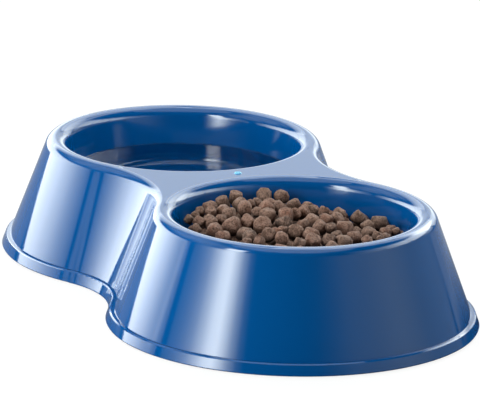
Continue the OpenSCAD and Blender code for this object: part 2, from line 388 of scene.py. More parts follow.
# Widest turn that one flat lamp of a bank spans, and the highest upper edge that a bank may have
# and still stand upright, in degrees
PANEL_REACH = 35
UPRIGHT_UP_TO = 40
LAMP_TINT = (0.94, 1.0, 0.98)
# The round lamp over the bowl: height over the bowl's middle in metres, brightness, 1 for paper
# white, and the turn from straight up to its edge in degrees
OVERHEAD_HEIGHT = 2.0
OVERHEAD_LEVEL = 1.5
OVERHEAD_REACH = 24
# Width of the camera's sensor in millimetres, and how far the camera sees in metres
SENSOR_WIDTH = 36.0
VIEW_END = 100.0
# How far the floor lies under the feet, so that the two never share a plane
FLOOR_GAP = 0.05 * MM
# The floor's own grey, which throws light back on the bowl, and the grey that takes its shadow
CLOTH_GREY = (0.45, 0.45, 0.45, 1.0)
SHADOW_GREY = (0.8, 0.8, 0.8, 1.0)
PAPER_WHITE = (1.0, 1.0, 1.0, 1.0)
# Tint and level of the room round the lamps
ROOM_TINT = (0.9, 0.95, 1.0, 1.0)
ROOM_LEVEL = 0.02
# Brightness of the floor that the plastic mirrors, at two places along the bowl: the plastic
# shows the floor only at its far edges, and it is dim there, more so at the food dish
MIRRORED_FLOOR = ((-0.1, 0.45), (0.1, 0.03))


def direction(azimuth, elevation):
    """Unit vector towards an azimuth, measured from straight in front, and an elevation."""
    flat = math.cos(elevation)
    return Vector((math.sin(azimuth) * flat, -math.cos(azimuth) * flat, math.sin(elevation)))


def view_axes(values):
    """Returns the camera's own right, up and back axes."""
    back = direction(values.azimuth, values.elevation)
    right = Vector((0.0, 0.0, 1.0)).cross(back).normalized()
    up = back.cross(right)
    turn = values.roll
    level_right = right * math.cos(turn) + up * math.sin(turn)
    level_up = up * math.cos(turn) - right * math.sin(turn)
    return level_right, level_up, back


def panel_span(glow):
    """Middle azimuth of a panel, its half width from a distance of 1, and its peak brightness."""
    start, end = glow[0][0], glow[-1][0]
    centre = (start + end) / 2
    return centre, math.tan(math.radians(end - centre)), max(level for _, level in glow)


class BOWL_OT_stage(bpy.types.Operator):
    """Sets the camera, the pale floor, the white surroundings and the soft lamps"""

    bl_idname = "bowl.stage"
    bl_label = "Set the Stage"

    def execute(self, context):
        values = context.scene.bowl_stage
        self.add_camera(context.scene, values)
        self.add_floor(values)
        self.add_surroundings(context.scene)
        middle = Vector((0.0, 0.0, SHELL_BOX[1].z / 2))
        for name, distance, low, high, low_fade, high_fade, glow in BANKS:
            first, last = glow[0][0], glow[-1][0]
            ends = np.linspace(first, last, math.ceil((last - first) / PANEL_REACH) + 1)
            for index, (start, end) in enumerate(zip(ends, ends[1:])):
                inner = [stop for stop in glow if start < stop[0] < end]
                levels = np.interp((start, end), *zip(*glow))
                part = [(start, levels[0]), *inner, (end, levels[1])]
                lamp = self.add_panel(values, middle, distance, low, high, part)
                lamp.name = f"{name}_{index}"
                self.add_glow(lamp.data, part, low_fade, high_fade)
        self.add_overhead(middle)
        return {"FINISHED"}

    def add_camera(self, scene, values):
        """Adds the camera and plain view settings."""
        level_right, level_up, back = view_axes(values)
        bpy.ops.object.camera_add()
        camera = bpy.context.object
        camera.name = "photo_camera"
        axes = Matrix((level_right, level_up, back)).transposed().to_4x4()
        place = Vector(values.target) + back * values.distance
        camera.matrix_world = Matrix.Translation(place) @ axes
        camera.data.lens = values.lens
        camera.data.sensor_width = SENSOR_WIDTH
        camera.data.clip_end = VIEW_END
        scene.camera = camera
        scene.view_settings.view_transform = "Standard"

    def add_floor(self, values):
        """Adds a white floor that keeps the bowl's shadow and is clear from below."""
        clear_selection()
        bpy.ops.mesh.primitive_plane_add(
            size=values.floor_size, location=(0.0, 0.0, -FLOOR_GAP))
        floor = bpy.context.object
        floor.name = "floor"
        material, nodes, links = new_material("pale_floor")
        ray = nodes.new("ShaderNodeLightPath").outputs
        cloth = add_node(nodes, "ShaderNodeBsdfDiffuse", Color=CLOTH_GREY)
        shadow = add_node(nodes, "ShaderNodeBsdfDiffuse", Color=SHADOW_GREY)
        white = add_node(nodes, "ShaderNodeEmission", Color=PAPER_WHITE, Strength=1.0)
        mirrored = add_node(nodes, "ShaderNodeEmission", Color=ROOM_TINT)
        clear = nodes.new("ShaderNodeBsdfTransparent")
        place = nodes.new("ShaderNodeTexCoord")
        parts = nodes.new("ShaderNodeSeparateXYZ")
        links.new(place.outputs["Object"], parts.inputs["Vector"])
        (start, first), (end, last) = MIRRORED_FLOOR
        level = map_values(nodes, links, parts.outputs["X"], first, last, start, end)
        links.new(level, mirrored.inputs["Strength"])
        unseen = mix_shaders(nodes, links, ray["Is Glossy Ray"], cloth, mirrored)
        paper = mix_shaders(nodes, links, values.floor_shadow, white, shadow)
        looking = calculate(
            nodes, links, "MAXIMUM", ray["Is Camera Ray"], ray["Is Transmission Ray"])
        above = mix_shaders(nodes, links, looking, unseen, paper)
        side = nodes.new("ShaderNodeNewGeometry")
        both = mix_shaders(nodes, links, side.outputs["Backfacing"], above, clear)
        finish_surface(nodes, links, both)
        dress(floor, material)

    def add_surroundings(self, scene):
        """Adds a world that looks white and leaves the light to the lamps."""
        world = bpy.data.worlds.new("studio")
        world.use_nodes = True
        nodes, links = world.node_tree.nodes, world.node_tree.links
        nodes.clear()
        ray = nodes.new("ShaderNodeLightPath")
        room = add_node(nodes, "ShaderNodeBackground", Color=ROOM_TINT, Strength=ROOM_LEVEL)
        white = add_node(nodes, "ShaderNodeBackground", Color=PAPER_WHITE, Strength=1.0)
        seen = mix_shaders(nodes, links, ray.outputs["Is Camera Ray"], room, white)
        output = nodes.new("ShaderNodeOutputWorld")
        links.new(seen.outputs[0], output.inputs["Surface"])
        scene.world = world

    def add_panel(self, values, middle, distance, low, high, glow):
        """Adds a flat lamp over the given angles: upright if it is low, tilted if it is high."""
        centre, half, peak = panel_span(glow)
        bottom, top = math.radians(low), math.radians(high)
        tilt = (bottom + top) / 2 if high > UPRIGHT_UP_TO else 0.0
        towards = direction(values.azimuth + math.radians(centre), tilt)
        if tilt:
            place = middle + towards * distance
            height = 2 * distance * math.tan((top - bottom) / 2)
        else:
            rise = (math.tan(bottom) + math.tan(top)) / 2
            place = middle + (towards + Vector((0.0, 0.0, rise))) * distance
            height = distance * (math.tan(top) - math.tan(bottom))
        bpy.ops.object.light_add(type="AREA", location=place)
        lamp = bpy.context.object
        lamp.rotation_euler = towards.to_track_quat("Z", "Y").to_euler()
        light = lamp.data
        light.shape = "RECTANGLE"
        light.size = 2 * distance * half * math.cos(tilt)
        light.size_y = height
        light.energy = peak * light.size * light.size_y * math.pi
        lamp.visible_camera = False
        return lamp

    def add_overhead(self, middle):
        """Adds a level lamp over the bowl."""
        place = middle + Vector((0.0, 0.0, OVERHEAD_HEIGHT))
        bpy.ops.object.light_add(type="AREA", location=place)
        lamp = bpy.context.object
        lamp.name = "overhead"
        light = lamp.data
        light.shape = "DISK"
        light.size = 2 * OVERHEAD_HEIGHT * math.tan(math.radians(OVERHEAD_REACH))
        light.energy = OVERHEAD_LEVEL * math.pi * math.pi * light.size ** 2 / 4
        light.color = LAMP_TINT
        lamp.visible_camera = False

    def add_glow(self, light, glow, low_fade, high_fade):
        """Varies a panel's brightness along it, and fades its lower and upper edge."""
        centre, half, peak = panel_span(glow)
        light.use_nodes = True
        nodes, links = light.node_tree.nodes, light.node_tree.links
        nodes.clear()
        place = nodes.new("ShaderNodeNewGeometry")
        parts = nodes.new("ShaderNodeSeparateXYZ")
        links.new(place.outputs["Parametric"], parts.inputs["Vector"])
        ramp = nodes.new("ShaderNodeValToRGB")
        stops = ramp.color_ramp.elements
        shares = [
            (0.5 + math.tan(math.radians(at - centre)) / (2 * half), level / peak)
            for at, level in glow]
        for at, _ in shares[1:-1]:
            stops.new(at)
        for stop, (at, level) in zip(stops, shares):
            stop.position = at
            stop.color = (*(part * level for part in LAMP_TINT), 1.0)
        links.new(parts.outputs["X"], ramp.inputs["Fac"])
        shine = nodes.new("ShaderNodeEmission")
        links.new(ramp.outputs["Color"], shine.inputs["Color"])
        edges = [
            map_values(nodes, links, parts.outputs["Y"], 0.0, 1.0, outer, inner, soft=True)
            for outer, inner in ((0.0, low_fade), (1.0, 1.0 - high_fade)) if outer != inner]
        strength = edges[0] if len(edges) == 1 else calculate(nodes, links, "MULTIPLY", *edges)
        links.new(strength, shine.inputs["Strength"])
        output = nodes.new("ShaderNodeOutputLight")
        links.new(shine.outputs[0], output.inputs["Surface"])


# Shell

# Distance from the bowl's middle to the centre of each waist's hollow curve
WAIST_PLACE = 140.76 * MM
# Points closer than this are one: among the solid's loose triangles, and across the finer seams
# of the faired copy
WELD = 0.002 * MM
SEAM_WELD = 0.04 * MM
# A face lies on a smooth surface if it is this near, within this turn in degrees, and no more
# than the play in degrees past the ends of a round one
FAIR_REACH = 0.15 * MM
FAIR_TURN = 9.0
FAIR_PLAY = 4
# The shell's smooth surfaces: what their radius runs round, a point on a straight one or the
# centre of a round one, its radius, below 0 where it is hollow, and its first and last normal in
# degrees over the level. Lengths are in millimetres.
SKIN = [
    ("outline", (102.92, 0.8), 0.0, 20.0, 20.0),
    ("outline", (98.23, 7.1), 0.0, 20.4, 20.4),
    ("outline", (72.9, 58.0), 6.0, 20.4, 90.0),
    ("dish", (72.5, 57.5), 6.5, 90.0, 170.0),
    ("dish", (66.1, 58.63), 0.0, 170.0, 170.0),
    ("dish", (44.98, 31.0), -16.0, 90.0, 170.0),
]
# Shades of the plastic where its flow is dark and where it is pale, and its least and greatest
# roughness, each as a share of the setting
FLOW_SHADES = (0.96, 1.05)
POLISH_SPREAD = (0.85, 1.2)
# At the gate, a painted highlight: the colour and the roughness that it adds, and the share of
# its radius over which it is full
GATE_HIGHLIGHT_COLOUR = Vector((0.2, 0.5, 0.6))
GATE_HIGHLIGHT_DULLING = 0.4
GATE_HIGHLIGHT_CORE = 0.5


def plastic_material(values):
    """Polished blue plastic: a faint flow of colour, orange peel and a painted highlight at its
    gate.
    """
    material, nodes, links = new_material("blue_plastic")
    shader = add_node(nodes, "ShaderNodeBsdfPrincipled", IOR=1.5)
    mottle = add_mottle(nodes, blotch_scale=14.0, grain_scale=420.0, grain_share=0.35)
    base = Vector(values.colour)
    dark, pale = (tuple(base * shade) for shade in FLOW_SHADES)
    flow = mix_colours(nodes, links, mottle.outputs["Blotch"], dark, pale)
    place = nodes.new("ShaderNodeTexCoord")
    off_gate = add_node(nodes, "ShaderNodeVectorMath", operation="DISTANCE")
    off_gate.inputs[1].default_value = (0.0, 0.0, SHELL_BOX[1].z)
    links.new(place.outputs["Object"], off_gate.inputs[0])
    # Painted highlight: a paler, duller spot round the gate, in place of the glint on its pip
    gate_highlight_mask = map_values(
        nodes, links, off_gate.outputs["Value"], 0.0, 1.0,
        values.gate_highlight_radius, GATE_HIGHLIGHT_CORE * values.gate_highlight_radius, soft=True)
    colour = mix_colours(nodes, links, gate_highlight_mask, flow, tuple(base + GATE_HIGHLIGHT_COLOUR))
    links.new(colour, shader.inputs["Base Color"])
    low, high = (values.roughness * share for share in POLISH_SPREAD)
    polish = map_values(nodes, links, mottle.outputs["Mix"], low, high)
    dull = calculate(nodes, links, "MULTIPLY_ADD", gate_highlight_mask, GATE_HIGHLIGHT_DULLING, polish)
    links.new(dull, shader.inputs["Roughness"])
    add_bump(nodes, links, shader, mottle.outputs["Mix"], strength=0.04, distance=0.2 * MM)
    finish_surface(nodes, links, shader)
    return material


def dish_place():
    """Distance from the bowl's middle to the middle of each dish."""
    low, high = SHELL_BOX
    return (high.x - low.x) / 2 - (high.y - low.y) / 2


def skin_fields(points):
    """Radius and outward direction of points, about the outline's arcs and their own dish."""
    place = dish_place()
    flat = points[:, :2]
    side = np.where(points[:, 0] < 0, -1.0, 1.0)
    front = np.where(points[:, 1] < 0, -1.0, 1.0)
    from_dish = flat - np.stack((side * place, np.zeros(len(points))), axis=1)
    to_waist = np.stack((np.zeros(len(points)), front * WAIST_PLACE), axis=1) - flat
    turn = np.arctan2(np.abs(flat[:, 0]), WAIST_PLACE - np.abs(flat[:, 1]))
    in_waist = (turn < math.atan2(place, WAIST_PLACE)) & (np.abs(flat[:, 1]) < WAIST_PLACE)
    dish_r = np.maximum(np.linalg.norm(from_dish, axis=1), 1e-9)
    waist_r = np.maximum(np.linalg.norm(to_waist, axis=1), 1e-9)
    dish_out = from_dish / dish_r[:, None]
    outline_r = np.where(in_waist, math.hypot(place, WAIST_PLACE) - waist_r, dish_r)
    outline_out = np.where(in_waist[:, None], to_waist / waist_r[:, None], dish_out)
    return {"outline": (outline_r, outline_out), "dish": (dish_r, dish_out)}


def skin_surfaces(points):
    """For each smooth surface: how far points lie off it, its normals, and where it counts."""
    fields = skin_fields(points)
    found = []
    for field, at, radius, first, last in SKIN:
        reach, out = fields[field]
        offset = np.stack((reach - at[0] * MM, points[:, 2] - at[1] * MM), axis=1)
        if radius:
            size = np.maximum(np.linalg.norm(offset, axis=1), 1e-9)
            gap = (size - abs(radius) * MM) * math.copysign(1.0, radius)
            lean = offset / size[:, None] * math.copysign(1.0, radius)
        else:
            turn = math.radians(first)
            lean = np.tile((math.cos(turn), math.sin(turn)), (len(points), 1))
            gap = (offset * lean).sum(axis=1)
        angle = np.degrees(np.arctan2(lean[:, 1], lean[:, 0]))
        counts = (angle > first - FAIR_PLAY) & (angle < last + FAIR_PLAY)
        counts &= np.abs(gap) < FAIR_REACH
        normals = np.column_stack((out * lean[:, :1], lean[:, 1]))
        found.append((gap, normals, counts))
    return found


def face_surfaces(mesh):
    """Number in SKIN of the smooth surface that each face belongs to, or -1."""
    centres = read_mesh(mesh.polygons, "center", 3)
    normals = read_mesh(mesh.polygons, "normal", 3)
    best = np.full(len(centres), math.cos(math.radians(FAIR_TURN)))
    chosen = np.full(len(centres), -1)
    for number, (_, fair, counts) in enumerate(skin_surfaces(centres)):
        match = (fair * normals).sum(axis=1)
        better = counts & (match > best)
        best[better] = match[better]
        chosen[better] = number
    return chosen


class BOWL_OT_shell(bpy.types.Operator):
    """Polishes the moulded shell: a copy of its solid with finer, faired smooth surfaces"""

    bl_idname = "bowl.shell"
    bl_label = "Finish the Shell"

    def execute(self, context):
        values = context.scene.bowl_shell
        pick(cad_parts["bowl_shell"])
        bpy.ops.object.duplicate()
        shell = bpy.context.object
        shell.name = "moulded_shell"
        with editing():
            bpy.ops.mesh.select_mode(type="FACE")
            bpy.ops.mesh.select_all(action="SELECT")
            bpy.ops.mesh.remove_doubles(threshold=WELD)
            bpy.ops.mesh.select_all(action="DESELECT")
        mesh = shell.data
        mesh.polygons.foreach_set("select", face_surfaces(mesh) >= 0)
        with editing():
            bpy.ops.mesh.subdivide(number_cuts=values.skin_cuts)
        chosen = face_surfaces(mesh)
        self.fair_places(mesh, chosen)
        mesh.polygons.foreach_set("select", chosen >= 0)
        with editing():
            bpy.ops.mesh.remove_doubles(threshold=SEAM_WELD)
            # Slivers in the seams fold flat as they are welded, so they are taken out
            bpy.ops.mesh.select_mode(type="FACE")
            bpy.ops.mesh.select_all(action="DESELECT")
            bpy.ops.mesh.select_interior_faces()
            bpy.ops.mesh.delete(type="FACE")
        self.fair_normals(mesh, face_surfaces(mesh))
        dress(shell, plastic_material(values))
        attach(shell, ROOT)
        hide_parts("bowl_shell")
        return {"FINISHED"}

    def corners(self, mesh, chosen):
        """Point number and smooth surface of each corner of each face."""
        points = np.empty(len(mesh.loops), dtype=np.int64)
        mesh.loops.foreach_get("vertex_index", points)
        sizes = np.empty(len(mesh.polygons), dtype=np.int64)
        mesh.polygons.foreach_get("loop_total", sizes)
        return points, np.repeat(chosen, sizes)

    def fair_places(self, mesh, chosen):
        """Moves the points of the smooth surfaces from their flat facets onto the surfaces."""
        places = read_mesh(mesh.vertices, "co", 3)
        points, surface = self.corners(mesh, chosen)
        moves = np.zeros_like(places)
        counts = np.zeros(len(places))
        for number, (gap, fair, _) in enumerate(skin_surfaces(places)):
            here = points[surface == number]
            np.add.at(moves, here, -gap[here, None] * fair[here])
            np.add.at(counts, here, 1)
        moves /= np.maximum(counts, 1)[:, None]
        moves[np.linalg.norm(moves, axis=1) > FAIR_REACH] = 0.0
        mesh.vertices.foreach_set("co", (places + moves).ravel())
        mesh.update()

    def fair_normals(self, mesh, chosen):
        """Shades the smooth surfaces with their true normals, so that mirrored edges run clean."""
        places = read_mesh(mesh.vertices, "co", 3)
        normals = read_mesh(mesh.corner_normals, "vector", 3)
        points, surface = self.corners(mesh, chosen)
        for number, (_, fair, _) in enumerate(skin_surfaces(places)):
            here = surface == number
            normals[here] = fair[points[here]]
        mesh.normals_split_custom_set(normals)


# Feet

# The rubber's own black and its shade under dust
RUBBER_BLACK = (0.018, 0.018, 0.02)
RUBBER_DUSTY = (0.05, 0.05, 0.053)


def rubber_material():
    """Matt black rubber with a dusty grain."""
    material, nodes, links = new_material("black_rubber")
    shader = add_node(nodes, "ShaderNodeBsdfPrincipled")
    mottle = add_mottle(nodes, blotch_scale=60.0, grain_scale=2600.0, grain_share=0.6)
    colour = mix_colours(nodes, links, mottle.outputs["Mix"], RUBBER_BLACK, RUBBER_DUSTY)
    links.new(colour, shader.inputs["Base Color"])
    roughness = map_values(nodes, links, mottle.outputs["Grain"], low=0.6, high=0.9)
    links.new(roughness, shader.inputs["Roughness"])
    add_bump(nodes, links, shader, mottle.outputs["Grain"], strength=0.4, distance=0.1 * MM)
    finish_surface(nodes, links, shader)
    return material


class BOWL_OT_feet(bpy.types.Operator):
    """Gives the six push-in feet their rubber"""

    bl_idname = "bowl.feet"
    bl_label = "Finish the Feet"

    def execute(self, context):
        rubber = rubber_material()
        for name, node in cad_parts.items():
            if name.startswith("foot_"):
                dress(node, rubber)
        return {"FINISHED"}


# Water

# Sides of the body of water, and steps round its corner and over its meniscus
WATER_SIDES = 160
CORNER_STEPS = 6
MENISCUS_STEPS = 4
# Width of the meniscus as a share of its height, and the rings of points on the level water as
# shares of its radius
MENISCUS_SPREAD = 2.4
LEVEL_RINGS = (0.9, 0.75, 0.5, 0.25)


def water_material(values):
    """Clear water with a trace of blue and the faintest swell on its skin."""
    material, nodes, links = new_material("still_water")
    shader = add_node(
        nodes, "ShaderNodeBsdfPrincipled", Transmission_Weight=1.0, IOR=1.333, Roughness=0.0)
    shader.inputs["Base Color"].default_value = (*values.colour, 1.0)
    place = nodes.new("ShaderNodeTexCoord")
    swell = add_node(nodes, "ShaderNodeTexNoise", Scale=16.0, Detail=1.0)
    links.new(place.outputs["Object"], swell.inputs["Vector"])
    add_bump(nodes, links, shader, swell.outputs["Fac"], strength=0.1, distance=0.3 * MM)
    finish_surface(nodes, links, shader)
    return material


class BOWL_OT_water(bpy.types.Operator):
    """Fills the water dish: a body of water that climbs the wall a little at its rim"""

    bl_idname = "bowl.water"
    bl_label = "Fill the Water Dish"

    def execute(self, context):
        values = context.scene.bowl_water
        low, high = (corner.copy() for corner in WATER_BOX)
        low.z -= values.bite
        middle = (low + high) / 2
        reach = (high.x - low.x) / 2 + values.bite
        corner = values.corner + values.bite
        lean = math.tan(values.taper)
        turn = math.pi / 2 - values.taper
        wall = high.z - low.z - corner * (1 - math.sin(values.taper))
        arc_r = reach - wall * lean - corner * math.cos(values.taper)
        clear_selection()
        bpy.ops.mesh.primitive_circle_add(
            vertices=WATER_SIDES, radius=arc_r, fill_type="NGON",
            location=(middle.x, middle.y, low.z))
        water = bpy.context.object
        water.name = "water_body"
        bpy.ops.object.transform_apply(location=True, rotation=False, scale=False)
        rings = []
        for step in range(1, CORNER_STEPS + 1):
            angle = turn * step / CORNER_STEPS
            height = low.z + corner * (1 - math.cos(angle))
            rings.append((arc_r + corner * math.sin(angle), height))
        climb = values.meniscus
        rings.append((reach, high.z))
        rings.append((reach + climb * lean, high.z + climb))
        for step in range(1, MENISCUS_STEPS + 1):
            fall = step / MENISCUS_STEPS
            height = high.z + climb * (1 - fall) ** 3
            rings.append((reach - fall * MENISCUS_SPREAD * climb, height))
        rings += [(share * reach, high.z) for share in LEVEL_RINGS]
        with editing():
            bpy.ops.mesh.select_all(action="SELECT")
            last_r, last_z = arc_r, low.z
            for radius, height in rings:
                bpy.ops.mesh.extrude_region_move(
                    TRANSFORM_OT_translate={"value": (0, 0, height - last_z)})
                grow = radius / last_r
                bpy.ops.transform.resize(
                    value=(grow, grow, 1), center_override=(middle.x, middle.y, height))
                last_r, last_z = radius, height
            bpy.ops.mesh.select_all(action="SELECT")
            bpy.ops.mesh.normals_make_consistent(inside=False)
        bpy.ops.object.shade_smooth()
        dress(water, water_material(values))
        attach(water, ROOT)
        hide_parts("water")
        return {"FINISHED"}


# Kibble

# Size of the view, in points, in which the pellets that show have their places
PICTURE = (480, 420)
# The pellets that show on the heap: across and down in that view, width in it, shade from 0,
# dark, to 1, pale, and 1 where a flat end faces the viewer
SEEN_PELLETS = [
    (189, 219.5, 9, 0.2, 0), (195, 215, 8, 0.4, 0), (200, 212, 9, 0.4, 0),
    (209.5, 207.5, 12, 0.5, 0), (211, 213, 11, 0.5, 0), (199, 222, 10, 0.5, 0),
    (195, 229.5, 11, 0.4, 0), (210.5, 223, 14, 0.5, 0), (222.5, 203, 13, 0.4, 0),
    (223, 212, 13, 0.6, 0), (221, 219.5, 10, 0.5, 0), (214.5, 230.5, 14, 0.5, 0),
    (223, 237.5, 13, 0.6, 0), (229.5, 215, 13, 0.6, 0), (235.5, 198, 13, 0.6, 0),
    (240, 204.5, 13, 0.6, 0), (232.5, 227, 17, 0.4, 0), (245, 209.5, 15, 0.7, 0),
    (247.5, 223, 14, 0.6, 0), (251, 205, 9, 0.3, 0), (257, 204, 10, 0.4, 0),
    (264, 196.5, 15, 0.7, 0), (281.5, 197, 13, 0.5, 0), (267, 208.5, 14, 0.7, 0),
    (267.5, 216.5, 15, 0.7, 0), (257, 212, 10, 0.5, 0), (279, 208, 13, 0.5, 0),
    (286, 215.5, 14, 0.6, 0), (283.5, 223, 13, 0.1, 0), (262.5, 226.5, 17, 0.6, 0),
    (268.5, 235, 14, 0.4, 1), (281.5, 239, 13, 0.9, 1), (277, 232.5, 9, 0.9, 0),
    (250, 237, 12, 0.3, 0), (259, 242.5, 11, 0.7, 0), (247, 242.5, 9, 0.5, 0),
    (294, 205, 12, 0.4, 0), (283, 230.5, 9, 0.6, 0), (295.5, 232, 15, 0.6, 1),
    (294.5, 214.5, 12, 0.7, 0), (303, 212.5, 12, 0.7, 0), (308, 207.5, 11, 0.5, 0),
    (312, 211, 10, 0.4, 0), (312, 221, 14, 0.8, 0), (324, 212, 10, 0.5, 0), (303, 225, 10, 0.5, 0),
    (320, 227.5, 13, 0.6, 0), (326, 220, 12, 0.5, 0), (339, 214.5, 12, 0.3, 0),
    (336, 220, 14, 0.7, 0), (331, 228.5, 10, 0.2, 0), (344.5, 229.5, 17, 0.5, 0),
    (358, 217.5, 13, 0.3, 0), (311, 235, 14, 0.6, 0), (312, 242, 15, 0.7, 0),
    (299, 244.5, 12, 0.3, 0), (329, 241, 13, 0.5, 0), (337, 236.5, 10, 0.3, 0),
    (343.5, 243, 15, 0.6, 0), (354, 239, 14, 0.5, 0), (367.5, 226.5, 12, 0.6, 0),
    (369, 234, 13, 0.4, 0), (379, 223.5, 15, 0.1, 0), (377, 236, 9, 0.6, 0),
    (385.5, 233, 11, 0.5, 0), (391, 230, 10, 0.4, 0), (396, 232, 8, 0.3, 0),
    (367, 241, 10, 0.5, 0), (386, 237.5, 8, 0.4, 0), (380, 239.5, 8, 0.4, 0),
]
# How much wider a pellet is than the part of it that shows, how deep it sits in the heap's
# surface as a share of its radius, and how many points loose pellets stay under the skyline
SEEN_SWELL = 1.08
SEEN_DEPTH = 0.9
SKYLINE_MARGIN = 2.0
# Stretch of a sight line, before and past the camera's target, that is searched for the heap
SIGHT_BEFORE, SIGHT_PAST, SIGHT_STEPS = 0.16, 0.1, 1300
# Loose pellets: height that they fill, rows each way from the middle, how far they start off
# their places as a share of a pellet, and their least and greatest share of a pellet's size
HEAP_DEPTH = 0.06
HEAP_ROWS = 12
LOOSE_STRAY = 0.22
LOOSE_SIZES = (0.86, 1.12)
# Loose pellets near those that show: how far to the side or under the surface they start, in
# pellets and in radii, and the share of both radii that must lie between
BESIDE_SEEN = 1.1
UNDER_SEEN = 2.3
CLEAR_OF_SEEN = 0.75
# Settling: rounds, the share of both radii at which two pellets rest, the share of an overlap
# that each round undoes, for all and for those that show, and the least height over the floor
# in radii
SETTLE_ROUNDS = 60
NESTLE = 0.94
SETTLE_PUSH = 0.35
SEEN_PUSH = 0.5
LEAST_RISE = 0.8
# Shapes of pellet and sides of each; a radius is 1 in the three lines that follow: rounding of
# the ends, dimple's margin and depth, and dents
KIBBLE_SHAPES = 11
PELLET_SIDES = 10
END_ROUNDING = 0.4
DIMPLE_MARGIN, DIMPLE_DEPTH = 0.3, 0.05
DENTS = 0.09
# Greatest squash of a pellet's round, its least and greatest length, how far a flat end may turn
# from the viewer, and the turn between two faces, in degrees, that stays crisp
SQUASH = 0.06
LENGTHS = (0.84, 0.98)
END_TURN = 0.25
CRISP_TURN = 50
# How far down a pellet its painted shade begins, for loose ones and for those that show
LOOSE_SHADE, SEEN_SHADE = 0.6, 0.2
# Shades of the crumb against its mean colour: warm, plain, dark, pale speck, pit, painted shade
WARM_CRUMB = (1.6, 1.06, 0.86)
PLAIN_CRUMB = (1.35, 1.35, 1.35)
DARK_CRUMB = (0.3, 0.3, 0.3)
PALE_SPECK = (1.9, 2.0, 2.1)
PITTED_CRUMB = (0.35, 0.35, 0.35)
PAINTED_UNDERSIDE_SHADE = (0.12, 0.12, 0.12)


def dish_middle():
    """Middle of the food dish's floor."""
    return np.array((dish_place(), 0.0, KIBBLE_BOX[0].z))


def heap_top(values, places):
    """Height of the heap's surface over places in the dish, an array of rows."""
    across = places[:, :2] - dish_middle()[:2]
    reach = np.linalg.norm(across, axis=1) / values.reach
    towards = np.array((math.cos(values.lean_turn), math.sin(values.lean_turn)))
    slope = values.lean / 2 * (across @ towards) / values.reach
    return values.edge_height + values.dome * (1 - reach ** 2) + slope


def wall_radius(values, height):
    """Radius of the dish's wall and corner over its floor, at an array of heights."""
    corner, taper = values.corner, values.taper
    low = dish_middle()[2]
    join = corner * (1 - math.sin(taper))
    middle_r = values.reach - (values.rim_height - low - join) * math.tan(taper)
    middle_r -= corner * math.cos(taper)
    rise = np.clip(height - low, 0.0, None)
    arc = middle_r + np.sqrt(np.clip(corner ** 2 - (corner - rise) ** 2, 0.0, None))
    wall = middle_r + corner * math.cos(taper) + (rise - join) * math.tan(taper)
    return np.where(rise < join, arc, wall)


def seen_places(stage, values):
    """Puts each pellet that shows where its sight line meets the heap.

    Returns places, radii and sight lines.
    """
    right, up, back = view_axes(stage)
    eye = Vector(stage.target) + back * stage.distance
    focal = stage.lens / SENSOR_WIDTH * PICTURE[0]
    places, radii, lines = [], [], []
    for across, down, width, _, _ in SEEN_PELLETS:
        line = right * (across - PICTURE[0] / 2) - up * (down - PICTURE[1] / 2) - back * focal
        line.normalize()
        radius = width / 2 * stage.distance / focal * SEEN_SWELL
        steps = np.linspace(
            stage.distance - SIGHT_BEFORE, stage.distance + SIGHT_PAST, SIGHT_STEPS)[:, None]
        path = np.array(eye) + steps * np.array(line)
        gap = path[:, 2] - (heap_top(values, path) - SEEN_DEPTH * radius)
        off = np.linalg.norm(path[:, :2] - dish_middle()[:2], axis=1)
        room = wall_radius(values, path[:, 2]) - radius - off
        inside = np.flatnonzero(room > 0)
        under = inside[gap[inside] <= 0]
        at = under[0] if len(under) else inside[-1]
        places.append(path[at])
        radii.append(radius)
        lines.append(np.array(line))
    return np.array(places), np.array(radii), np.array(lines)


def seen_skyline():
    """Highest row that a loose pellet may reach, for each column of the view."""
    columns = np.arange(PICTURE[0], dtype=float)
    tops = np.full(PICTURE[0], np.nan)
    for across, down, width, _, _ in SEEN_PELLETS:
        off = columns - across
        inside = np.abs(off) < width / 2
        arc = down - np.sqrt(np.clip((width / 2) ** 2 - off ** 2, 0, None))
        tops = np.where(inside, np.fmin(tops, arc), tops)
    known = np.flatnonzero(~np.isnan(tops))
    return np.interp(columns, known, tops[known]) + SKYLINE_MARGIN


def sight_gap(stage, places, radii, skyline):
    """How much each pellet may rise before it shows over the skyline, or less than 0."""
    right, up, back = (np.array(axis) for axis in view_axes(stage))
    eye = np.array(stage.target) + back * stage.distance
    off = places - eye
    scale = stage.lens / SENSOR_WIDTH * PICTURE[0] / -(off @ back)
    column = np.clip(PICTURE[0] / 2 + scale * (off @ right), 0, PICTURE[0] - 1).astype(int)
    row = PICTURE[1] / 2 - scale * (off @ up + radii)
    return (row - skyline[column]) / scale / up[2]


